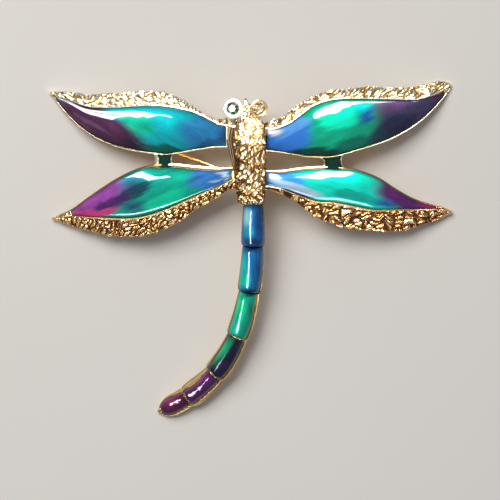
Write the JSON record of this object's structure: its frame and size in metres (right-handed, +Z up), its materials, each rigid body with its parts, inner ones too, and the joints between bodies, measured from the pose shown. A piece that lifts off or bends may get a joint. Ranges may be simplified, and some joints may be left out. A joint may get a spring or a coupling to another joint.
{
  "type": "insect brooch",
  "caption": "Insect brooch in gold-coloured metal with nugget-textured wing borders, domed colour-changing enamel, a curved enamelled tail, stone eyes and a hinged pin.",
  "frame": {"origin": "middle of the bounding box, on the surface that the brooch lies on", "axes": "+X to the right wing tips as seen from the front, +Y toward the head, +Z up out of the enamelled face"},
  "size_m": [0.0641, 0.0539, 0.0082],
  "materials": {
    "casting": "bright gold plating with darkened recesses",
    "enamel_upper_left": "glossy translucent enamel",
    "enamel_upper_right": "glossy translucent enamel",
    "enamel_lower_left": "glossy translucent enamel",
    "enamel_lower_right": "glossy translucent enamel",
    "bridge_enamel_left": "glossy translucent enamel",
    "bridge_enamel_right": "glossy translucent enamel",
    "tail_enamel_1": "glossy translucent enamel",
    "tail_enamel_2": "glossy translucent enamel",
    "tail_enamel_3": "glossy translucent enamel",
    "tail_enamel_4": "glossy translucent enamel",
    "tail_enamel_5": "glossy translucent enamel",
    "tail_enamel_6": "glossy translucent enamel",
    "eye_stone_left": "faceted, foiled behind",
    "eye_stone_right": "faceted, foiled behind",
    "hinge_bracket": "bright gold plating",
    "hinge_rivet": "bright gold plating",
    "pin_stem": "gold-plated steel wire",
    "catch": "bright gold plating"
  },
  "bodies": {
    "brooch": {"casting": "casting", "enamel_upper_left": "enamel_upper_left", "enamel_upper_right": "enamel_upper_right", "enamel_lower_left": "enamel_lower_left", "enamel_lower_right": "enamel_lower_right", "bridge_enamel_left": "bridge_enamel_left", "bridge_enamel_right": "bridge_enamel_right", "tail_enamel_1": "tail_enamel_1", "tail_enamel_2": "tail_enamel_2", "tail_enamel_3": "tail_enamel_3", "tail_enamel_4": "tail_enamel_4", "tail_enamel_5": "tail_enamel_5", "tail_enamel_6": "tail_enamel_6", "eye_stone_left": "eye_stone_left", "eye_stone_right": "eye_stone_right", "hinge_bracket": "hinge_bracket", "hinge_rivet": "hinge_rivet", "catch": "catch"},
    "pin": {"pin_stem": "pin_stem"}
  },
  "joints": [
    {"name": "pin_hinge", "type": "hinge", "parent": "brooch", "child": "pin", "pos_m": [0.01064, 0.00693, 0.0015], "axis": [-0.3584, -0.9336, 0], "range_deg": [0, 70]}
  ]
}
